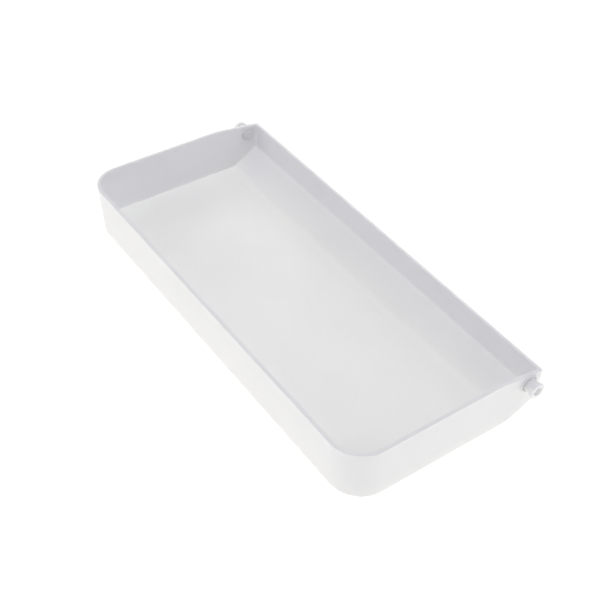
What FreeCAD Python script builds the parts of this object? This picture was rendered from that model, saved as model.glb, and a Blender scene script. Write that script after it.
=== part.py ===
import FreeCAD, Part
import math
import os

from FreeCAD import Vector

os.makedirs("parts", exist_ok=True)

# A shallow moulded tray that swings on two push-in pivot pins near its rear edge.
# +X runs along the tray towards the right pin, +Y from the front wall to the rear
# wall, and +Z up.  The origin is the middle of the flat bottom.  Millimetres.

# Tray, outside
tray_length = 240.0          # over the end walls at the rim
tray_width = 111.0           # over the front and rear walls at the rim
front_height = 29.6          # rim above the bottom, at the front and most of each end
rim_drop = 4.0               # how much lower the rim is at the rear face
rim_dip_run = 28.0           # stretch of each end wall over which the rim drops to the rear
rim_dip_radius = 14.0        # soft bend where the rim starts to drop
front_corner_radius = 16.5   # upright corners between the front and end walls
front_draft = 1.95           # how far the front wall leans in, rim to bottom
end_draft = 0.25             # the same for each end wall, and for the rear wall
base_edge_radius = 0.5       # edge all round the underside

# Tray, walls and inside
wall = 2.0                   # upright walls
floor = 2.1                  # flat floor
rim_edge_radius = 0.2        # both edges of the rim
floor_edge_radius = 0.6      # where the floor meets the walls inside
corner_allowance = 0.2       # a rear upright corner's radius, less its lower edge's

# The floor's rear strip, which ramps up to the rear wall
ramp_run = 17.5              # underneath, from the end of the flat bottom to the rear face
ramp_rise = 8.9              # underneath, over that run
ramp_bend_radius = 12.0      # soft bend underneath
ramp_setback = 0.4           # the bend inside starts this far ahead of the one underneath
ramp_top_thickness = 3.6     # upright thickness where the ramp meets the rear wall
ramp_bend_radius_inside = 6.0

# Pivots: a pin that turns in a boss on each end wall
collar_radius = 4.1          # the pin's journal, which the mating socket takes
journal_length = 1.7
nose_length = 0.5            # rounded outer end of the collar
nose_round = 0.4             # how much smaller the nose is than the collar
nose_wall = 1.3              # ring round the hollow in the nose
recess_depth = 2.4           # hollow in the nose
neck_depth = 0.8             # how much smaller the neck is than the collar
neck_length = 3.4            # from the boss to the collar
shank_depth = 0.8            # how much smaller the shank is than the neck
shank_clearance = 0.05       # radial, between the shank and its bore
end_play = 0.1               # axial, at each end of the shank's bore
head_overhang = 0.5          # how much larger the inner head is than the shank
head_thickness = 0.9
head_edge_chamfer = 0.4
boss_wall = 2.45             # round the bore
boss_length = 0.6            # stands out from the end wall's rim plane
boss_edge_radius = 0.2
boss_rear_margin = 3.4       # from the boss to the rear face
boss_rim_margin = 0.6        # from the boss up to the rim straight above the pivot
counterbore_radius = 4.35    # wider mouth of the bore, which the neck stands in
counterbore_depth = 1.2

# Gate mark under the floor
gate_dimple_radius = 4.0
gate_dimple_depth = 0.5
gate_stub_radius = 0.9
gate_stub_height = 0.3

# Worked-out sizes and places
half_length = tray_length / 2
half_width = tray_width / 2
rear_height = front_height - rim_drop
ramp_slope = ramp_rise / ramp_run
neck_radius = collar_radius - neck_depth
shank_radius = neck_radius - shank_depth
bore_radius = shank_radius + shank_clearance
boss_radius = bore_radius + boss_wall
boss_face = half_length + boss_length
counterbore_seat = boss_face - counterbore_depth
pivot_y = half_width - boss_rear_margin - boss_radius
rim_over_pivot = rear_height + (half_width - pivot_y) * rim_drop / rim_dip_run
pivot_height = rim_over_pivot - boss_rim_margin - boss_radius
overrun = 20.0               # how far cutting shapes run past what they cut


def lean(draft, z):
    """Inset of a drafted wall at height z, nothing at the rim and draft at the bottom."""
    return draft * (1 - z / front_height)


def flared_block(inset):
    """Six-sided block with the tray's leaning walls, moved inwards by inset."""
    corners = []
    for z in (-overrun, front_height + overrun):
        x = half_length - inset - lean(end_draft, z)
        front = -half_width + inset + lean(front_draft, z)
        rear = half_width - inset - lean(end_draft, z)
        ring = [(-x, front), (x, front), (x, rear), (-x, rear)]
        corners.append([Vector(px, py, z) for px, py in ring])
    low, high = corners
    faces = [Part.Face(Part.makePolygon(ring + ring[:1])) for ring in corners]
    for i in range(4):
        j = (i + 1) % 4
        side = [low[i], low[j], high[j], high[i], low[i]]
        faces.append(Part.Face(Part.makePolygon(side)))
    return Part.Solid(Part.Shell(faces))


def side_prism(points, radii):
    """Closed side outline of (y, z) points, its corners rounded, run along X past both ends."""
    x = -half_length - overrun
    corners = [Vector(x, y, z) for y, z in points]
    edges = []
    starts = []
    ends = []
    for i, corner in enumerate(corners):
        back = (corners[i - 1] - corner).normalize()
        ahead = (corners[(i + 1) % len(corners)] - corner).normalize()
        half_angle = back.getAngle(ahead) / 2
        reach = radii[i] / math.tan(half_angle)
        start = corner + back * reach
        end = corner + ahead * reach
        starts.append(start)
        ends.append(end)
        if radii[i] > 0:
            bisector = (back + ahead).normalize()
            middle = corner + bisector * (radii[i] / math.sin(half_angle) - radii[i])
            edges.append(Part.Arc(start, middle, end).toShape())
    for i, end in enumerate(ends):
        edges.append(Part.makeLine(end, starts[(i + 1) % len(starts)]))
    outline = Part.Face(Part.Wire(Part.__sortEdges__(edges)))
    return outline.extrude(Vector(tray_length + 2 * overrun, 0, 0))


def upright_edges(shape, rear):
    """Edges close to vertical, on the rear half or on the front half."""
    found = []
    for edge in shape.Edges:
        along = edge.tangentAt(edge.FirstParameter)
        if abs(along.z) > 0.9 and (edge.CenterOfMass.y > 0) == rear:
            found.append(edge)
    return found


def faces_towards(shape, sign, lowest_z):
    """Faces whose normals point up (sign 1) or down (sign -1), all above lowest_z."""
    found = []
    for face in shape.Faces:
        u0, u1, v0, v1 = face.ParameterRange
        normal = face.normalAt((u0 + u1) / 2, (v0 + v1) / 2)
        if normal.z * sign > 0.5 and face.BoundBox.ZMin > lowest_z:
            found.append(face)
    return found


def border_edges(shape, faces):
    """Edges where the given faces meet the rest of the shape."""
    found = []
    for edge in shape.Edges:
        sides = shape.ancestorsOfType(edge, Part.Face)
        inside = [any(side.isSame(face) for face in faces) for side in sides]
        if any(inside) and not all(inside):
            found.append(edge)
    return found


def rounded_block(inset, profile, radii, front_radius, low_radius):
    """Leaning block cut to a side outline, with rounded uprights and lower edge."""
    block = flared_block(inset).common(side_prism(profile, radii))
    block = block.makeFillet(front_radius, upright_edges(block, rear=False))
    rear_radius = low_radius + corner_allowance
    block = block.makeFillet(rear_radius, upright_edges(block, rear=True))
    under = faces_towards(block, -1, -overrun)
    return block.makeFillet(low_radius, border_edges(block, under))


def tray_outside():
    """Outer form of the tray, from the bottom up to the sloping rim."""
    dip_slope = rim_drop / rim_dip_run
    ahead = -half_width - overrun
    behind = half_width + overrun
    profile = [
        (ahead, 0),
        (half_width - ramp_run, 0),
        (behind, ramp_slope * (ramp_run + overrun)),
        (behind, rear_height - dip_slope * overrun),
        (half_width - rim_dip_run, front_height),
        (ahead, front_height),
    ]
    radii = [0, ramp_bend_radius, 0, 0, rim_dip_radius, 0]
    return rounded_block(0, profile, radii, front_corner_radius, base_edge_radius)


def tray_cavity():
    """The space inside the tray, open at the top."""
    ahead = -half_width - overrun
    rear_wall = half_width - wall
    bend = half_width - ramp_run - ramp_setback
    ramp_top = ramp_slope * (ramp_run - wall) + ramp_top_thickness
    inner_slope = (ramp_top - floor) / (rear_wall - bend)
    profile = [
        (ahead, floor),
        (bend, floor),
        (rear_wall + overrun, ramp_top + inner_slope * overrun),
        (rear_wall + overrun, front_height + overrun),
        (ahead, front_height + overrun),
    ]
    radii = [0, ramp_bend_radius_inside, 0, 0, 0]
    return rounded_block(
        wall, profile, radii, front_corner_radius - wall, floor_edge_radius)


def turned(outline, side):
    """Solid turned about the pivot axis; outline is (distance from the middle, radius)."""
    points = [Vector(side * x, pivot_y, pivot_height + r) for x, r in outline]
    face = Part.Face(Part.makePolygon(points + points[:1]))
    return face.revolve(Vector(0, pivot_y, pivot_height), Vector(1, 0, 0), 360)


def boss(side):
    """Round boss on an end wall; its root is buried in the wall."""
    root = half_length - wall / 2
    length = wall / 2 + boss_length
    start = Vector(side * root, pivot_y, pivot_height)
    body = Part.makeCylinder(boss_radius, length, start, Vector(side, 0, 0))
    face_x = root + length
    rim = [edge for edge in body.Edges if abs(edge.CenterOfMass.x - side * face_x) < 0.01]
    return body.makeFillet(boss_edge_radius, rim)


def pivot_bore(side):
    """Hole for the pin's shank, through the boss and the end wall, with a wider mouth."""
    along = Vector(side, 0, 0)
    start = Vector(side * (half_length - wall - overrun / 2), pivot_y, pivot_height)
    bore = Part.makeCylinder(bore_radius, overrun + wall + boss_length, start, along)
    seat = Vector(side * counterbore_seat, pivot_y, pivot_height)
    mouth = Part.makeCylinder(counterbore_radius, counterbore_depth + overrun, seat, along)
    return bore.fuse(mouth)


def gate_dimple():
    """Shallow round dimple under the floor."""
    return Part.makeCylinder(gate_dimple_radius, gate_dimple_depth, Vector(0, 0, 0))


def gate_stub():
    """Stub of the moulding gate, standing down inside its dimple."""
    top = gate_dimple_depth + floor / 2
    height = gate_stub_height + floor / 2
    return Part.makeCylinder(gate_stub_radius, height, Vector(0, 0, top - height))


def tray_shell():
    """The tray itself: one moulding, with its two bosses and their bores."""
    shell = tray_outside().cut(tray_cavity())
    rim = faces_towards(shell, 1, rear_height / 2)
    shell = shell.makeFillet(rim_edge_radius, border_edges(shell, rim))
    shell = shell.fuse([boss(-1), boss(1)])
    shell = shell.cut([pivot_bore(-1), pivot_bore(1), gate_dimple()])
    return shell.fuse(gate_stub()).removeSplitter()


def pivot_pin(side):
    """Stepped pin: head inside the tray, shank in the bore, neck, collar and hollow nose."""
    head_radius = shank_radius + head_overhang
    nose_radius = collar_radius - nose_round
    recess_radius = nose_radius - nose_wall
    wall_inside = half_length - wall - lean(end_draft, pivot_height)
    head_back = wall_inside - end_play
    head_front = head_back - head_thickness
    neck_start = counterbore_seat + end_play
    collar_start = boss_face + neck_length
    collar_end = collar_start + journal_length
    tip = collar_end + nose_length
    recess_end = tip - recess_depth
    outline = [
        (head_front, 0),
        (head_front, head_radius - head_edge_chamfer),
        (head_front + head_edge_chamfer, head_radius),
        (head_back, head_radius),
        (head_back, shank_radius),
        (neck_start, shank_radius),
        (neck_start, neck_radius),
        (collar_start, neck_radius),
        (collar_start, collar_radius),
        (collar_end, collar_radius),
        (tip, nose_radius),
        (tip, recess_radius),
        (recess_end, recess_radius),
        (recess_end, 0),
    ]
    return turned(outline, side)


def export(node, shape):
    """Write one sub-part, which has to be one sound solid."""
    if len(shape.Solids) != 1 or not shape.isValid():
        raise ValueError(node + " is not one sound solid")
    solid = shape.Solids[0]
    solid.exportStep("parts/" + node + ".step")
    box = solid.optimalBoundingBox(True, False)
    print(node, "volume", round(solid.Volume, 1), "mm3, size",
          round(box.XLength, 2), "x", round(box.YLength, 2), "x", round(box.ZLength, 2), "mm")


export("tray_shell", tray_shell())
export("pivot_pin_left", pivot_pin(-1))
export("pivot_pin_right", pivot_pin(1))
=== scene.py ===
"""White moulded tray with two pivot pins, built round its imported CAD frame."""

import math

import bpy
import numpy as np
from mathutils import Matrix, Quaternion, Vector


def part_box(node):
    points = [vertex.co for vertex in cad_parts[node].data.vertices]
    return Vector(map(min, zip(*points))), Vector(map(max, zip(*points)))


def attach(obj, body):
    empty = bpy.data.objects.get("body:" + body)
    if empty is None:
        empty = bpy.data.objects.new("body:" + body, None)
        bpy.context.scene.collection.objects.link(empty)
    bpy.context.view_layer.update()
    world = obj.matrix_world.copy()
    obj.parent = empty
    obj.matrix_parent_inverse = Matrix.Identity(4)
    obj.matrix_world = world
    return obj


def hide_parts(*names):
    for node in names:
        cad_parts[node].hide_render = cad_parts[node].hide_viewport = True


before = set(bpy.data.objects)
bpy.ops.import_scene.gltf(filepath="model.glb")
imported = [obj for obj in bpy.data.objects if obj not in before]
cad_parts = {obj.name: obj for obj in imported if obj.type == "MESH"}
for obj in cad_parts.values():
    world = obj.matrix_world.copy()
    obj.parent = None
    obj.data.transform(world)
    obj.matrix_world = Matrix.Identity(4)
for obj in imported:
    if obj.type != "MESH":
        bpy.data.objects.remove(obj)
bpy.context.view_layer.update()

bl_info = {
    "name": "Pivoting Tray",
    "version": (1, 0, 0),
    "blender": (4, 5, 0),
    "location": "View3D > Sidebar > Tray",
    "description": "Builds a moulded tray, its pivot pins and a studio stage",
    "category": "Object",
}

MM = 0.001

tray_low, tray_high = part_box("tray_shell")
pin_low, pin_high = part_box("pivot_pin_right")

BOSS_LENGTH = 0.6 * MM
PIVOT_Y = (pin_low.y + pin_high.y) / 2
PIVOT_Z = (pin_low.z + pin_high.z) / 2
COLLAR_RADIUS = (pin_high.z - pin_low.z) / 2


def length(name, description, default):
    """A size in metres, shown in the scene's units."""
    return bpy.props.FloatProperty(
        name=name, description=description, default=default, min=0.0, precision=5, unit="LENGTH")


def colour(name, description, default):
    """A colour, shown as a swatch."""
    return bpy.props.FloatVectorProperty(
        name=name, description=description, default=default, size=3, min=0.0, max=1.0,
        subtype="COLOR")


def share(name, description, default):
    """A number from 0 to 1."""
    return bpy.props.FloatProperty(
        name=name, description=description, default=default, min=0.0, max=1.0,
        subtype="FACTOR")


def angle(name, description, default):
    """An angle, shown in degrees."""
    return bpy.props.FloatProperty(
        name=name, description=description, default=math.radians(default), subtype="ANGLE")


def amount(name, description, default):
    """A plain number."""
    return bpy.props.FloatProperty(name=name, description=description, default=default, min=0.0)


class TraySizes(bpy.types.PropertyGroup):
    """Sizes of the tray's moulding; its overall size is the frame's."""

    wall: length("Wall", "Thickness of the upright walls", 2.0 * MM)
    floor: length("Floor", "Thickness of the flat floor", 2.1 * MM)
    rim_drop: length("Rim drop", "How much lower the rim is at the rear", 4.0 * MM)
    rim_dip_run: length("Rim dip", "Stretch over which the rim drops", 28.0 * MM)
    rim_dip_radius: length("Rim bend", "Bend where the rim starts to drop", 14.0 * MM)
    front_corner: length("Front corners", "Radius of the upright front corners", 16.5 * MM)
    corner_allowance: length("Corner allowance", "Rear corner less lower edge", 0.2 * MM)
    front_draft: length("Front draft", "How far the front wall leans in", 1.95 * MM)
    end_draft: length("End draft", "How far end and rear walls lean in", 0.25 * MM)
    base_edge: length("Base edge", "Radius of the edge round the underside", 0.5 * MM)
    rim_edge: length("Rim edge", "Radius of both edges of the rim", 0.2 * MM)
    floor_edge: length("Floor edge", "Radius where floor and walls meet", 0.6 * MM)
    ramp_run: length("Ramp run", "Ramp underneath, along the tray's width", 17.5 * MM)
    ramp_rise: length("Ramp rise", "Ramp underneath, upwards", 8.9 * MM)
    ramp_bend: length("Ramp bend", "Bend of the ramp underneath", 12.0 * MM)
    ramp_setback: length("Ramp setback", "The bend inside starts ahead by this", 0.4 * MM)
    ramp_top: length("Ramp top", "Upright thickness at the rear wall", 3.6 * MM)
    ramp_bend_inside: length("Inner bend", "Bend of the ramp inside", 6.0 * MM)
    boss_wall: length("Boss wall", "Ring of plastic round the bore", 2.45 * MM)
    boss_edge: length("Boss edge", "Radius of the boss's outer edge", 0.2 * MM)
    mouth: length("Bore mouth", "Radius of the bore's wider mouth", 4.35 * MM)
    mouth_depth: length("Mouth depth", "Depth of the bore's wider mouth", 1.2 * MM)
    bore_edge: length("Bore edge", "Radius of the edges of the bore and its mouth", 0.15 * MM)
    gate_radius: length("Gate dimple", "Radius of the dimple under the floor", 4.0 * MM)
    gate_depth: length("Gate depth", "Depth of the dimple", 0.5 * MM)
    gate_edge: length("Gate edge", "Radius of the dimple's edges", 0.15 * MM)
    stub_radius: length("Stub", "Radius of the gate's stub in the dimple", 0.9 * MM)
    stub_end: length("Stub end", "How far the stub stays above the bottom", 0.2 * MM)


class PinSizes(bpy.types.PropertyGroup):
    """Sizes of one pivot pin; its collar and length are the frame's."""

    nose: length("Nose", "Rounded end of the collar", 0.4 * MM)
    nose_wall: length("Nose wall", "Ring round the hollow", 1.3 * MM)
    recess_depth: length("Recess depth", "Depth of the hollow in the nose", 2.4 * MM)
    neck_depth: length("Neck depth", "Collar radius less neck radius", 0.8 * MM)
    neck_length: length("Neck length", "From the boss to the collar", 3.4 * MM)
    shank_depth: length("Shank depth", "Neck radius less shank radius", 0.8 * MM)
    clearance: length("Clearance", "Between the shank and its bore", 0.05 * MM)
    end_play: length("End play", "Gap at each end of the bore", 0.1 * MM)
    head_overhang: length("Head overhang", "Head radius less shank radius", 0.5 * MM)
    head: length("Head", "Thickness of the inner head", 0.9 * MM)
    head_edge: length("Head edge", "Radius of the inner head's edge", 0.4 * MM)
    edge: length("Edges", "Radius of the pin's small edges", 0.15 * MM)


class Finish(bpy.types.PropertyGroup):
    """Colours and gloss of the plastic."""

    tray_colour: colour("Tray colour", "Plastic of the tray", (0.88, 0.88, 0.88))
    pin_colour: colour("Pin colour", "Plastic of the pivot pins", (0.90, 0.90, 0.90))
    roughness: share("Roughness", "Roughness of the moulded faces", 0.42)
    scatter: length("Scatter", "How far light spreads inside the plastic", 3.0 * MM)


class StageSizes(bpy.types.PropertyGroup):
    """Camera, floor and light."""

    floor_colour: colour("Floor colour", "Plain pale floor", (0.9, 0.9, 0.9))
    floor_glow: amount("Floor glow", "Light that the floor gives", 0.5265)
    floor_width: length("Floor width", "Width of the floor", 24.0)
    sky: amount("Sky", "Strength of the even light all round", 0.174)
    lamps: amount("Lamps", "Strength of all the soft boxes together", 1.0)
    azimuth: angle("Azimuth", "Camera's turn from the front to the right", 53.122)
    elevation: angle("Elevation", "Camera's lift", 42.667)
    roll: angle("Roll", "Camera's turn about its own line of sight", 2.677)
    distance: length("Distance", "From the aim to the camera", 554.86 * MM)
    aim_x: length("Aim, length", "Where the camera looks, along the tray", 15.17 * MM)
    aim_y: bpy.props.FloatProperty(
        name="Aim, width", description="Where the camera looks, across the tray",
        default=-8.36 * MM, precision=5, unit="LENGTH")
    aim_z: length("Aim, height", "Where the camera looks, upwards", 20.27 * MM)
    focal_length: bpy.props.FloatProperty(
        name="Focal length", description="Lens of the camera, in millimetres",
        default=67.202, min=1.0)


# Shapes: every surface is rows of points, and faces that join one row to the next.


def unit(vectors):
    """Each vector divided by its length."""
    return vectors / np.linalg.norm(vectors, axis=-1, keepdims=True)


def bend(distance, slope, radius):
    """Height of a line that turns from level to slope about distance 0.

    Level up to the arc, radius less the root of radius squared less distance squared
    on it, and slope times distance after it.
    """
    angle = math.atan(slope)
    start = -radius * math.tan(angle / 2)
    stop = -start * math.cos(angle)
    along = np.clip(distance - start, 0.0, stop - start)
    arc = radius - np.sqrt(radius ** 2 - along ** 2)
    return np.where(distance > stop, distance * slope, arc)


def fillet(corner, first, second, radius, steps):
    """Rows of an arc that touches the two directions leaving each corner point.

    The arc is a rational curve with the corner as its middle control point: the ends
    lie radius over the tangent of half the angle away, and the middle's weight is the
    sine of half the angle.
    """
    half = np.arccos(np.clip(np.sum(first * second, -1), -1.0, 1.0)) / 2
    reach = (radius / np.tan(half))[:, None]
    weight = np.sin(half)[:, None]
    start = corner + first * reach
    stop = corner + second * reach
    t = np.linspace(0.0, 1.0, steps + 1)[:, None, None]
    a, b, c = (1 - t) ** 2, 2 * t * (1 - t) * weight, t ** 2
    return (a * start + b * corner + c * stop) / (a + b + c)


def between(first, last, fractions):
    """Rows that divide the way from one row to another at the given fractions."""
    t = np.asarray(fractions)[:, None, None]
    return first * (1 - t) + last * t


class Skin:
    """Points and faces of one closed surface, gathered row by row."""

    def __init__(self):
        self.points = np.zeros((0, 3))
        self.quads = np.zeros((0, 4), int)
        self.fans = np.zeros((0, 3), int)

    def add(self, points):
        """Keep points of any grid shape and return their numbers in the same shape."""
        points = np.asarray(points, float)
        start = len(self.points)
        self.points = np.concatenate([self.points, points.reshape(-1, 3)])
        return start + np.arange(points[..., 0].size).reshape(points.shape[:-1])

    def grid(self, ids, skip=None):
        """Four-sided faces between neighbours of a grid of numbers, less those in skip."""
        quads = np.stack([ids[:-1, :-1], ids[:-1, 1:], ids[1:, 1:], ids[1:, :-1]], -1)
        if skip is not None:
            quads = quads[~skip]
        self.quads = np.concatenate([self.quads, quads.reshape(-1, 4)])

    def rings(self, ids, skip=None):
        """Faces between closed rows; skip marks the cells to leave out."""
        self.grid(np.concatenate([ids, ids[:, :1]], 1), skip)

    def cap(self, ring, point):
        """Fan of triangles that closes a ring at a point."""
        middle = np.full(len(ring), self.add(point[None])[0])
        fan = np.stack([ring, np.roll(ring, -1), middle], -1)
        self.fans = np.concatenate([self.fans, fan])

    def faces_inwards(self):
        """True if the volume under the faces, a sum of box products over 6, is negative."""
        halves = [self.quads[:, [0, 1, 2]], self.quads[:, [0, 2, 3]], self.fans]
        a, b, c = self.points[np.concatenate(halves)].transpose(1, 0, 2)
        return np.sum(a * np.cross(b, c)) < 0

    def mesh(self, name):
        """Blender mesh of the faces, turned outwards."""
        used = np.unique(np.concatenate([self.quads.ravel(), self.fans.ravel()]))
        step = -1 if self.faces_inwards() else 1
        quads = np.searchsorted(used, self.quads)[:, ::step]
        fans = np.searchsorted(used, self.fans)[:, ::step]
        mesh = bpy.data.meshes.new(name)
        mesh.from_pydata(self.points[used], [], quads.tolist() + fans.tolist())
        mesh.shade_smooth()
        return mesh


def edge_of(ids, rows, columns):
    """Numbers once round a rectangle of a grid: along its first row, then back round."""
    top, bottom = rows
    left, right = columns
    return np.concatenate([
        ids[top, left:right], ids[top:bottom, right],
        ids[bottom, right:left:-1], ids[bottom:top:-1, left]])


def blank(shape, rows, columns):
    """Mask of the cells inside that rectangle."""
    mask = np.zeros(shape, bool)
    mask[rows[0]:rows[1], columns[0]:columns[1]] = True
    return mask


def circles(centre, u, v, outline, angles):
    """Rings about an axis: radius times the turned direction, plus the step along it."""
    axis = np.cross(u, v)
    turned = np.cos(angles)[:, None] * u + np.sin(angles)[:, None] * v
    return np.stack([centre + radius * turned + step * axis for step, radius in outline])


def even_angles(points, centre, u, v):
    """Angles of a closed row of points about a centre, then spaced evenly from the first."""
    away = points - centre
    angles = np.unwrap(np.arctan2(away @ v, away @ u))
    turn = math.copysign(2 * math.pi, angles[-1] - angles[0])
    return angles[0] + turn * np.arange(len(points)) / len(points)


# Tray


class TrayForm:
    """Heights and plan of the tray's surfaces, in the frame's own place."""

    front_arc_steps = 14
    rear_arc_steps = 6
    columns = 61
    settle_span = 6 * MM      # stretch over which rows close up towards a corner

    def __init__(self, sizes):
        self.sizes = sizes
        self.half_length = tray_high.x - BOSS_LENGTH
        self.half_width = (tray_high.y - tray_low.y) / 2
        self.height = tray_high.z
        self.rear_corner = sizes.base_edge + sizes.corner_allowance
        self.inner_rear_corner = sizes.floor_edge + sizes.corner_allowance
        self.ramp_slope = sizes.ramp_rise / sizes.ramp_run
        self.ramp_start = self.half_width - sizes.ramp_run
        self.make_rows()
        self.make_ring()

    def lean(self, draft, z):
        """Inset of a leaning wall: nothing at the rim, draft at the bottom."""
        return draft * (1 - z / self.height)

    def base(self, y):
        """Underside: level, then the ramp."""
        return bend(y - self.ramp_start, self.ramp_slope, self.sizes.ramp_bend)

    def inside(self, y):
        """Floor: level, then the inner ramp, which meets the rear wall at its own height."""
        sizes = self.sizes
        start = self.ramp_start - sizes.ramp_setback
        stop = self.half_width - sizes.wall
        top = self.ramp_slope * (sizes.ramp_run - sizes.wall) + sizes.ramp_top
        slope = (top - sizes.floor) / (stop - start)
        return sizes.floor + bend(y - start, slope, sizes.ramp_bend_inside)

    def rim(self, y):
        """Rim: level, then a slope down to the rear."""
        sizes = self.sizes
        start = self.half_width - sizes.rim_dip_run
        slope = sizes.rim_drop / sizes.rim_dip_run
        return self.height - bend(y - start, slope, sizes.rim_dip_radius)

    def make_rows(self):
        """Rows from the front edge to the rear edge, as seen on the right half.

        Each row is the middle of its corner arc plus the radius times its outward
        direction; the straight rows between the arcs face straight out.
        """
        front = -self.half_width + self.sizes.front_corner
        rear = self.half_width - self.rear_corner
        turn = np.linspace(0, math.pi / 2, self.front_arc_steps + 1)
        back = np.linspace(0, math.pi / 2, self.rear_arc_steps + 1)
        bends_start = self.half_width - self.sizes.rim_dip_run - 6 * MM
        far = np.linspace(front, bends_start, 18)[1:-1]
        near = np.linspace(bends_start, rear, 43)[:-1]
        straight = np.concatenate([far, near])
        self.middle = np.concatenate([turn * 0 + front, straight, back * 0 + rear])
        level = np.ones(len(straight))
        self.row_x = np.concatenate([np.sin(turn), level, np.cos(back)])
        self.row_y = np.concatenate([-np.cos(turn), 0 * level, np.sin(back)])
        self.to_front = np.clip(1 - (self.middle - front) / self.settle_span, 0, 1)
        self.to_rear = np.clip(1 - (rear - self.middle) / self.settle_span, 0, 1)
        self.front, self.rear = front, rear

    def make_ring(self):
        """The same once round the tray: front edge, right rows, rear edge, left rows."""
        rows = len(self.middle)
        self.shares = np.linspace(-1, 1, self.columns)
        across = np.ones(self.columns)
        right = np.arange(1, rows - 1)
        left = right[::-1]
        row = np.concatenate([0 * across, right, (rows - 1) * across, left]).astype(int)
        side = np.concatenate([self.shares, right * 0 + 1, self.shares[::-1], left * 0 - 1])
        edge = (row == 0) | (row == rows - 1)
        self.side = side
        self.out_x = np.where(edge, 0.0, self.row_x[row] * np.sign(side))
        self.out_y = self.row_y[row]
        self.ring_middle = self.middle[row]
        self.ring_to_front = self.to_front[row]
        self.ring_to_rear = self.to_rear[row]
        self.at_front = self.ring_middle < 0

    def place(self, row, side):
        """Place on the ring of a right (side 1) or left (side -1) row."""
        if side > 0:
            return self.columns + row - 1
        return 2 * self.columns + 2 * len(self.middle) - 4 - row

    def ring(self, inset, level):
        """The ring on the walls, inset from the outside, at the height that level gives."""
        sizes = self.sizes
        rear_corner = self.inner_rear_corner if inset > 0 else self.rear_corner
        radius = np.where(self.at_front, sizes.front_corner - inset, rear_corner)
        y = self.ring_middle
        for _ in range(4):
            z = level(y)
            front = -self.half_width + inset + self.lean(sizes.front_draft, z) + radius
            rear = self.half_width - inset - self.lean(sizes.end_draft, z) - radius
            middle = (self.ring_middle + self.ring_to_front * (front - self.front)
                      + self.ring_to_rear * (rear - self.rear))
            y = middle + radius * self.out_y
        half = self.half_length - inset - self.lean(sizes.end_draft, z)
        x = self.side * (half - radius) + radius * self.out_x
        return np.stack([x, y, z], -1)

    def inward(self, points, level):
        """Level direction away from the wall, tilted to lie in the surface level."""
        step = 0.01 * MM
        slope = (level(points[:, 1] + step) - level(points[:, 1] - step)) / (2 * step)
        across = np.stack([-self.out_x, -self.out_y, -self.out_y * slope], -1)
        return unit(across)

    def field(self, ring, level):
        """Grid that fills a ring from left to right, its heights those of level."""
        rows = len(self.middle)
        share = (self.shares[None, :, None] + 1) / 2
        front = ring[:self.columns]
        right_rows = [self.place(row, 1) for row in range(1, rows - 1)]
        left_rows = [self.place(row, -1) for row in range(1, rows - 1)]
        inner = ring[left_rows][:, None] * (1 - share) + ring[right_rows][:, None] * share
        rear_start = self.place(rows - 2, 1) + 1
        rear = ring[rear_start:rear_start + self.columns][::-1]
        grid = np.concatenate([front[None], inner, rear[None]])
        grid[..., 2] = level(grid[..., 1])
        return grid

    def border(self, ids):
        """Numbers of a ring as the border of a grid, with blanks inside."""
        rows = len(self.middle)
        grid = np.full((rows, self.columns), -1)
        grid[0] = ids[:self.columns]
        rear_start = self.place(rows - 2, 1) + 1
        grid[-1] = ids[rear_start:rear_start + self.columns][::-1]
        grid[1:-1, -1] = [ids[self.place(row, 1)] for row in range(1, rows - 1)]
        grid[1:-1, 0] = [ids[self.place(row, -1)] for row in range(1, rows - 1)]
        return grid


HOLD = 0.08 * MM                 # gap of the extra rows that keep flats flat beside an edge
WALL_ROWS = np.concatenate([[0.01], np.linspace(0.04, 0.97, 24), [0.992]])
HOLE_ROWS = (8, 25)              # of WALL_ROWS, from the bottom: where the boss joins
HOLE_COLUMNS = 18                # rows of the plan that the boss's patch takes up
GATE_CELLS = 4                   # cells on each side of the gate
OUTER_SPREAD = (0.3, 0.6, 0.85, 0.97)     # of the way from the wall's grid to the boss
INNER_SPREAD = (0.03, 0.15, 0.4, 0.7)     # of the way from the bore to the wall's grid
GATE_SPREAD = (0.25, 0.5, 0.75)           # of the way from the floor's grid to the dimple
X, Y, Z = np.eye(3)
PIVOT = np.array([0.0, PIVOT_Y, PIVOT_Z])


def quarter(steps):
    """Angles of a quarter turn."""
    return np.linspace(0, math.pi / 2, steps + 1)


def wall_sections(form):
    """Rings from the underside, up the outside, over the rim and down to the floor.

    Returns the rings, and the number of the first wall ring outside and inside.
    """
    sizes = form.sizes
    base = form.ring(0, form.base)
    rim = form.ring(0, form.rim)
    inner_rim = form.ring(sizes.wall, form.rim)
    floor = form.ring(sizes.wall, form.inside)
    up, inner_up = unit(rim - base), unit(inner_rim - floor)
    under, over = form.inward(base, form.base), form.inward(rim, form.rim)
    inner_over, along = form.inward(inner_rim, form.rim), form.inward(floor, form.inside)
    low = fillet(base, under, up, sizes.base_edge, 6)
    high = fillet(rim, -up, over, sizes.rim_edge, 4)
    inner_high = fillet(inner_rim, -inner_over, -inner_up, sizes.rim_edge, 4)
    inner_low = fillet(floor, inner_up, along, sizes.floor_edge, 6)
    parts = [
        (low[0] + under * HOLD)[None], low, between(low[-1], high[0], WALL_ROWS), high,
        between(high[-1], inner_high[0], [0.1, 0.9]), inner_high,
        between(inner_high[-1], inner_low[0], WALL_ROWS), inner_low,
        (inner_low[-1] + along * HOLD)[None]]
    starts = np.cumsum([0] + [len(part) for part in parts])
    return np.concatenate(parts), int(starts[2]), int(starts[6])


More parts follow.
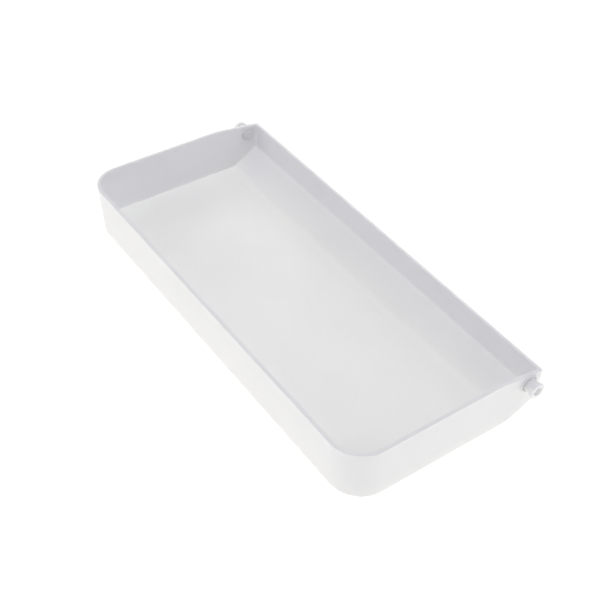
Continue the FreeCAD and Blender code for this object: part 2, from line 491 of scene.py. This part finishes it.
def boss_and_bore(skin, form, side, outer_edge, inner_edge, bore):
    """Boss outside, bore through the wall, and the patches that join them to the wall.

    Each ring is the bore's axis plus a radius times the turned direction.  The patches
    divide the way from the wall's own grid to a circle.
    """
    sizes = form.sizes
    angles = even_angles(skin.points[outer_edge], PIVOT, Y, Z)

    def wall_circle(radius, inset, raised):
        ring = circles(PIVOT, Y, Z, [(0, radius)], angles)[0]
        lean = form.lean(sizes.end_draft, ring[:, 2])
        ring[:, 0] = side * (form.half_length - inset - lean + raised)
        return ring

    back = inner_edge[::-1]
    inner_angles = even_angles(skin.points[back], PIVOT, Y, Z)
    shift = np.round((angles[0] - inner_angles[0]) / (inner_angles[1] - inner_angles[0]))
    back = np.roll(back, -int(shift))
    boss, edge, rim = bore + sizes.boss_wall, sizes.boss_edge, sizes.bore_edge
    face = tray_high.x
    seat = face - sizes.mouth_depth
    outline = [(face - edge - HOLD, boss)]
    outline += [(face - edge + edge * math.sin(a), boss - edge + edge * math.cos(a))
                for a in quarter(5)]
    for start, hole in ((face, sizes.mouth), (seat, bore)):
        outline += [(start, outline[-1][1] - HOLD), (start, hole + rim + HOLD)]
        outline += [(start - rim + rim * math.cos(a), hole + rim - rim * math.sin(a))
                    for a in quarter(4)]
        if start == face:
            outline.append((seat + HOLD, hole))
    outside = circles(PIVOT, Y, Z, [(side * x, r) for x, r in outline], angles)
    root = wall_circle(boss, 0, 0)
    inside = [wall_circle(bore + rim - rim * math.sin(a), sizes.wall, rim - rim * math.cos(a))
              for a in quarter(4)[::-1]]
    outer_patch = between(skin.points[outer_edge], root, OUTER_SPREAD)
    inner_patch = between(inside[-1], skin.points[back], INNER_SPREAD)
    rows = np.concatenate([
        outer_patch, root[None], wall_circle(boss, 0, HOLD)[None], outside,
        np.array(inside), inner_patch])
    ids = skin.add(rows)
    skin.rings(np.concatenate([outer_edge[None], ids, back[None]]))


def gate_mark(skin, form, edge_ids):
    """Dimple under the floor with the stub of the gate in it, as rings about Z."""
    sizes = form.sizes
    depth, radius, soft = sizes.gate_depth, sizes.gate_radius, sizes.gate_edge
    stub, stub_end = sizes.stub_radius, sizes.stub_end
    outline = [(0, radius + soft + HOLD)]
    outline += [(soft - soft * math.cos(a), radius + soft - soft * math.sin(a))
                for a in quarter(4)]
    outline += [(depth - soft + soft * math.sin(a), radius - soft + soft * math.cos(a))
                for a in quarter(4)]
    outline += [(depth, stub + HOLD), (depth - HOLD, stub), (stub_end + HOLD, stub),
                (stub_end, stub - HOLD), (stub_end, stub / 2)]
    centre = np.zeros(3)
    angles = even_angles(skin.points[edge_ids], centre, X, Y)
    dimple = circles(centre, X, Y, outline, angles)
    patch = between(skin.points[edge_ids], dimple[0], GATE_SPREAD)
    ids = skin.add(np.concatenate([patch, dimple]))
    skin.rings(np.concatenate([edge_ids[None], ids]))
    skin.cap(ids[-1], np.array([0, 0, stub_end]))


def tray_skin(sizes, bore):
    """The whole moulding as one closed skin."""
    form = TrayForm(sizes)
    skin = Skin()
    sections, outer_start, inner_start = wall_sections(form)
    ids = skin.add(sections)
    last = len(form.middle) - form.rear_arc_steps - 1
    first = last - HOLE_COLUMNS
    low, high = HOLE_ROWS
    span = len(WALL_ROWS) - 1
    outer_rows = (outer_start + low, outer_start + high)
    inner_rows = (inner_start + span - high, inner_start + span - low)
    skip = np.zeros((len(ids) - 1, ids.shape[1]), bool)
    holes = []
    for side in (1, -1):
        columns = sorted(form.place(row, side) for row in (first, last))
        for rows in (outer_rows, inner_rows):
            skip |= blank(skip.shape, rows, columns)
        holes.append([side] + [edge_of(ids, rows, columns) for rows in (outer_rows, inner_rows)])
    skin.rings(ids, skip)
    for side, outer_edge, inner_edge in holes:
        boss_and_bore(skin, form, side, outer_edge, inner_edge, bore)
    under = form.border(ids[0])
    under[1:-1, 1:-1] = skin.add(form.field(sections[0], form.base)[1:-1, 1:-1])
    under = under[:, ::-1]
    middle_row = int(np.argmin(np.abs(form.middle)))
    gate_rows = (middle_row - GATE_CELLS, middle_row + GATE_CELLS)
    middle_column = form.columns // 2
    gate_columns = (middle_column - GATE_CELLS, middle_column + GATE_CELLS)
    gap = blank((under.shape[0] - 1, under.shape[1] - 1), gate_rows, gate_columns)
    skin.grid(under, gap)
    gate_mark(skin, form, edge_of(under, gate_rows, gate_columns))
    floor = form.border(ids[-1])
    floor[1:-1, 1:-1] = skin.add(form.field(sections[-1], form.inside)[1:-1, 1:-1])
    skin.grid(floor)
    return skin


# Pins

PIN_HOLD = 0.03 * MM             # length of the short straights beside a pin's arcs
PIN_ARC_STEPS = 5
PIN_SIDES = 96


def rounded_outline(corners, radii):
    """Outline whose corners are arcs, with a short straight held beside each arc."""
    points = np.array(corners, float)
    rows = [points[:1]]
    for i in range(1, len(points) - 1):
        back, ahead = unit(points[i - 1] - points[i]), unit(points[i + 1] - points[i])
        arc = fillet(points[i][None], back[None], ahead[None], radii[i], PIN_ARC_STEPS)[:, 0]
        rows += [(arc[0] + back * PIN_HOLD)[None], arc, (arc[-1] + ahead * PIN_HOLD)[None]]
    rows.append(points[-1:])
    return np.concatenate(rows)


def pin_skin(sizes, tray, side):
    """A pin as its outline turned about the pivot axis, closed at both ends."""
    neck = COLLAR_RADIUS - sizes.neck_depth
    shank = neck - sizes.shank_depth
    head = shank + sizes.head_overhang
    hollow = COLLAR_RADIUS - sizes.nose - sizes.nose_wall
    face = tray_high.x
    seat = face - tray.mouth_depth + sizes.end_play
    head_front = pin_low.x
    head_back = head_front + sizes.head
    collar = face + sizes.neck_length
    tip = pin_high.x
    bottom = tip - sizes.recess_depth
    edge = sizes.edge
    corners = [
        (head_front, 0), (head_front, head), (head_back, head), (head_back, shank),
        (seat, shank), (seat, neck), (collar, neck),
        (collar, COLLAR_RADIUS), (tip, COLLAR_RADIUS), (tip, hollow), (bottom, hollow),
        (bottom, 0)]
    radii = [
        0, sizes.head_edge, edge, edge / 2,
        edge / 2, edge, edge / 2,
        edge, sizes.nose, edge, edge * 2, 0]
    outline = rounded_outline(corners, radii)
    angles = np.linspace(0, 2 * math.pi, PIN_SIDES, endpoint=False)
    skin = Skin()
    inner = [(side * x, r) for x, r in outline[1:-1]]
    ids = skin.add(circles(PIVOT, Y, Z, inner, angles))
    skin.rings(ids)
    skin.cap(ids[0][::-1], PIVOT + side * outline[0, 0] * X)
    skin.cap(ids[-1], PIVOT + side * outline[-1, 0] * X)
    return skin


# Finishes

CLOUD_SIZE = 60 * MM             # slow changes of tone
MOTTLE_SIZE = 2.2 * MM
GRAIN_SIZE = 0.42 * MM           # spark grain of the mould
TRAY_GRAIN = 0.010 * MM          # its height on the tray
PIN_GRAIN = 0.004 * MM           # and on the pins
WAVE_SIZE = 22 * MM              # sink waves
WAVE_HEIGHT = 0.06 * MM
STREAK_SIZE = 1.1 * MM
STREAK_TURN = 0.35               # radians from the tray's length
STREAK_STRETCH = (0.12, 1.0, 1.0)
RUB_DEPTH = 0.004 * MM
PLASTIC_IOR = 1.49
SCATTER_SHARE = 0.8


class Value:
    """A shader socket; arithmetic on it adds Math nodes."""

    def __init__(self, shader, socket):
        self.shader = shader
        self.socket = socket

    def math(self, operation, first, second):
        return self.shader.node("ShaderNodeMath", {"operation": operation}, {0: first, 1: second})

    def __add__(self, other):
        return self.math("ADD", self, other)

    def __sub__(self, other):
        return self.math("SUBTRACT", self, other)

    def __rsub__(self, other):
        return self.math("SUBTRACT", other, self)

    def __mul__(self, other):
        return self.math("MULTIPLY", self, other)

    __radd__ = __add__
    __rmul__ = __mul__


class Shader:
    """The nodes of one material."""

    def __init__(self, name):
        self.material = bpy.data.materials.new(name)
        self.material.use_nodes = True
        self.tree = self.material.node_tree
        self.tree.nodes.clear()

    def node(self, kind, settings=None, sockets=None, output=0):
        """Add a node: first its settings, then the values or links of its sockets."""
        node = self.tree.nodes.new(kind)
        for name, value in (settings or {}).items():
            setattr(node, name, value)
        for name, value in (sockets or {}).items():
            if isinstance(value, Value):
                self.tree.links.new(value.socket, node.inputs[name])
            else:
                node.inputs[name].default_value = value
        return Value(self, node.outputs[output]) if node.outputs else None

    def noise(self, place, spacing, detail):
        """Noise whose features are about spacing apart, in metres."""
        return self.node("ShaderNodeTexNoise", None, {
            "Vector": place, "Scale": 1 / spacing, "Detail": detail, "Roughness": 0.5})

    def step(self, value, low, high):
        """0 up to low, 1 from high, and a smooth step between."""
        return self.node(
            "ShaderNodeMapRange", {"interpolation_type": "SMOOTHSTEP"},
            {"Value": value, "From Min": low, "From Max": high})

    def blend(self, factor, first, second):
        """Mix of two colours."""
        return self.node(
            "ShaderNodeMix", {"data_type": "RGBA"},
            {"Factor": factor, 6: first, 7: second}, output=2)


def shade(colour, factor):
    """A colour times a number, as RGBA."""
    return (*(min(part * factor, 1.0) for part in colour), 1.0)


def moulded_plastic(name, colour, finish, grain_height):
    """White plastic from a mould: fine spark grain, slow sink waves and light rubbing.

    The rubbing is thin streaks along the tray, kept to a few cloudy patches; it makes
    the plastic a little smoother and takes a little off its height.
    """
    shader = Shader(name)
    place = shader.node("ShaderNodeTexCoord", output="Object")
    cloud = shader.noise(place, CLOUD_SIZE, 2.0)
    mottle = shader.noise(place, MOTTLE_SIZE, 3.0)
    grain = shader.noise(place, GRAIN_SIZE, 1.0)
    waves = shader.noise(place, WAVE_SIZE, 1.0)
    along = shader.node(
        "ShaderNodeMapping", None,
        {"Vector": place, "Rotation": (0.0, 0.0, STREAK_TURN), "Scale": STREAK_STRETCH})
    streaks = shader.step(shader.noise(along, STREAK_SIZE, 3.0), 0.62, 0.78)
    rubbed = streaks * shader.step(cloud, 0.48, 0.62)
    tone = shader.step(cloud * 0.7 + mottle * 0.3, 0.35, 0.65)
    body = shader.blend(tone, shade(colour, 0.985), shade(colour, 1.01))
    shine = finish.roughness + (mottle - 0.5) * 0.10 - rubbed * 0.05
    height = grain * grain_height + waves * WAVE_HEIGHT - rubbed * RUB_DEPTH
    relief = shader.node("ShaderNodeBump", None, {
        "Height": height, "Distance": 1.0, "Strength": 1.0})
    surface = shader.node("ShaderNodeBsdfPrincipled", None, {
        "Base Color": body, "Roughness": shine, "Normal": relief, "IOR": PLASTIC_IOR,
        "Subsurface Weight": SCATTER_SHARE, "Subsurface Radius": (1.0, 1.0, 1.0),
        "Subsurface Scale": finish.scatter})
    shader.node("ShaderNodeOutputMaterial", None, {"Surface": surface})
    return shader.material


# Stage

FLOOR_GAP = 0.2 * MM             # the floor lies this far under the tray
FLOOR_LINES = 9
FLOOR_TINT = (1.0, 1.0, 0.87, 1.0)
SKY_TINT = (0.73, 0.71, 1.0, 1.0)
BOX_DISTANCE = 1.2               # metres from the middle of the tray to each soft box
NEAR_CLIP = 0.01
WHITE_BOUNCES = 10               # white walls pass light on many times

# Name, azimuth and elevation in degrees, width in metres, watts and tint.
SOFT_BOXES = (
    ("top_box", 0, 89, 0.32, 3.6, (0.98, 1.0, 0.97)),
    ("front_left_box", -45, 25, 0.9, 2.4, (0.94, 1.0, 0.77)),
    ("front_box", 0, 25, 0.9, 2.62, (0.95, 0.88, 1.0)),
    ("right_box", 90, 25, 0.9, 1.71, (0.99, 1.0, 0.86)),
    ("rear_right_box", 135, 25, 0.9, 3.16, (0.92, 0.91, 1.0)),
    ("rear_left_box", -135, 25, 0.9, 4.1, (1.0, 0.97, 0.94)),
)


def stage_material(sizes):
    """Pale paper that glows a little, so that it stays white under a soft light."""
    shader = Shader("floor_paper")
    surface = shader.node("ShaderNodeBsdfPrincipled", None, {
        "Base Color": (*sizes.floor_colour, 1.0), "Roughness": 0.9,
        "Emission Color": FLOOR_TINT, "Emission Strength": sizes.floor_glow})
    shader.node("ShaderNodeOutputMaterial", None, {"Surface": surface})
    return shader.material


def add_object(name, data, material=None):
    """Object at the origin with its finish."""
    piece = bpy.data.objects.new(name, data)
    bpy.context.scene.collection.objects.link(piece)
    if material is not None:
        data.materials.append(material)
    return piece


def direction(azimuth, elevation):
    """Unit vector: azimuth turns from the front to the right, elevation lifts it."""
    flat = math.cos(elevation)
    return Vector((math.sin(azimuth) * flat, -math.cos(azimuth) * flat, math.sin(elevation)))


def add_softbox(name, away, width, power, tint):
    """Square area light that faces the object."""
    lamp = bpy.data.lights.new(name, "AREA")
    lamp.size = width
    lamp.energy = power
    lamp.color = tint
    box = add_object(name, lamp)
    box.location = away * BOX_DISTANCE
    box.rotation_euler = away.to_track_quat("Z", "Y").to_euler()
    box.visible_camera = False


def add_floor(sizes):
    """Level sheet just under the tray."""
    half = sizes.floor_width / 2
    line = np.linspace(-half, half, FLOOR_LINES)
    x, y = np.meshgrid(line, line)
    skin = Skin()
    skin.grid(skin.add(np.stack([x, y, 0 * x - FLOOR_GAP], -1)))
    mesh = bpy.data.meshes.new("floor")
    mesh.from_pydata(skin.points, [], skin.quads.tolist())
    return add_object("floor", mesh, stage_material(sizes))


def soft_room(sizes):
    """World with the same faint light all round."""
    world = bpy.data.worlds.new("soft_room")
    world.use_nodes = True
    sky = world.node_tree.nodes["Background"].inputs
    sky["Color"].default_value = SKY_TINT
    sky["Strength"].default_value = sizes.sky
    return world


def add_camera(sizes):
    """Camera that looks at the aim from its azimuth and elevation, then rolls."""
    lens = bpy.data.cameras.new("camera")
    lens.lens = sizes.focal_length
    lens.clip_start = NEAR_CLIP
    camera = add_object("camera", lens)
    back = direction(sizes.azimuth, sizes.elevation)
    turn = (-back).to_track_quat("-Z", "Y") @ Quaternion((0, 0, 1), sizes.roll)
    camera.location = Vector((sizes.aim_x, sizes.aim_y, sizes.aim_z)) + back * sizes.distance
    camera.rotation_euler = turn.to_euler()
    return camera


class TRAY_OT_moulding(bpy.types.Operator):
    """Build the tray in one closed skin, in place of its plain solid"""

    bl_idname = "tray.moulding"
    bl_label = "Tray"

    def execute(self, context):
        scene = context.scene
        pin = scene.pin_sizes
        bore = COLLAR_RADIUS - pin.neck_depth - pin.shank_depth + pin.clearance
        mesh = tray_skin(scene.tray_sizes, bore).mesh("tray_moulding")
        finish = scene.plastic_finish
        plastic = moulded_plastic("tray_plastic", finish.tray_colour, finish, TRAY_GRAIN)
        piece = add_object("tray_moulding", mesh, plastic)
        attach(piece, "tray")
        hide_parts("tray_shell")
        return {"FINISHED"}


class TRAY_OT_pins(bpy.types.Operator):
    """Turn the two pivot pins, in place of their plain solids"""

    bl_idname = "tray.pins"
    bl_label = "Pivot pins"

    def execute(self, context):
        scene = context.scene
        finish = scene.plastic_finish
        plastic = moulded_plastic("pin_plastic", finish.pin_colour, finish, PIN_GRAIN)
        for name, side in (("left", -1), ("right", 1)):
            mesh = pin_skin(scene.pin_sizes, scene.tray_sizes, side).mesh(name + "_pivot")
            piece = add_object(name + "_pivot", mesh, plastic)
            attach(piece, name + "_pin")
            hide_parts("pivot_pin_" + name)
        return {"FINISHED"}


class TRAY_OT_stage(bpy.types.Operator):
    """Lay the floor, hang the soft lights and place the camera"""

    bl_idname = "tray.stage"
    bl_label = "Stage"

    def execute(self, context):
        scene = context.scene
        sizes = scene.stage_sizes
        add_floor(sizes)
        scene.world = soft_room(sizes)
        for name, azimuth, elevation, width, power, tint in SOFT_BOXES:
            away = direction(math.radians(azimuth), math.radians(elevation))
            add_softbox(name, away, width, power * sizes.lamps, tint)
        scene.camera = add_camera(sizes)
        scene.view_settings.view_transform = "Standard"
        scene.cycles.diffuse_bounces = WHITE_BOUNCES
        return {"FINISHED"}


class TRAY_PT_panel(bpy.types.Panel):
    """Buttons and sizes of the tray"""

    bl_idname = "TRAY_PT_panel"
    bl_label = "Pivoting Tray"
    bl_space_type = "VIEW_3D"
    bl_region_type = "UI"
    bl_category = "Tray"

    def draw(self, context):
        layout = self.layout
        for operator, group in BUTTONS:
            layout.operator(operator.bl_idname)
            sizes = getattr(context.scene, group)
            for name in sizes.__annotations__:
                layout.prop(sizes, name)


GROUPS = {
    "tray_sizes": TraySizes, "pin_sizes": PinSizes,
    "plastic_finish": Finish, "stage_sizes": StageSizes}
BUTTONS = (
    (TRAY_OT_moulding, "tray_sizes"), (TRAY_OT_pins, "pin_sizes"),
    (TRAY_OT_stage, "stage_sizes"))
CLASSES = (*GROUPS.values(), TRAY_OT_moulding, TRAY_OT_pins, TRAY_OT_stage, TRAY_PT_panel)


def register():
    for cls in CLASSES:
        bpy.utils.register_class(cls)
    for name, group in GROUPS.items():
        setattr(bpy.types.Scene, name, bpy.props.PointerProperty(type=group))


def unregister():
    for name in GROUPS:
        delattr(bpy.types.Scene, name)
    for cls in reversed(CLASSES):
        bpy.utils.unregister_class(cls)


def main():
    register()
    bpy.ops.tray.moulding()
    bpy.ops.tray.pins()
    bpy.ops.tray.stage()


if __name__ == "__main__":
    main()
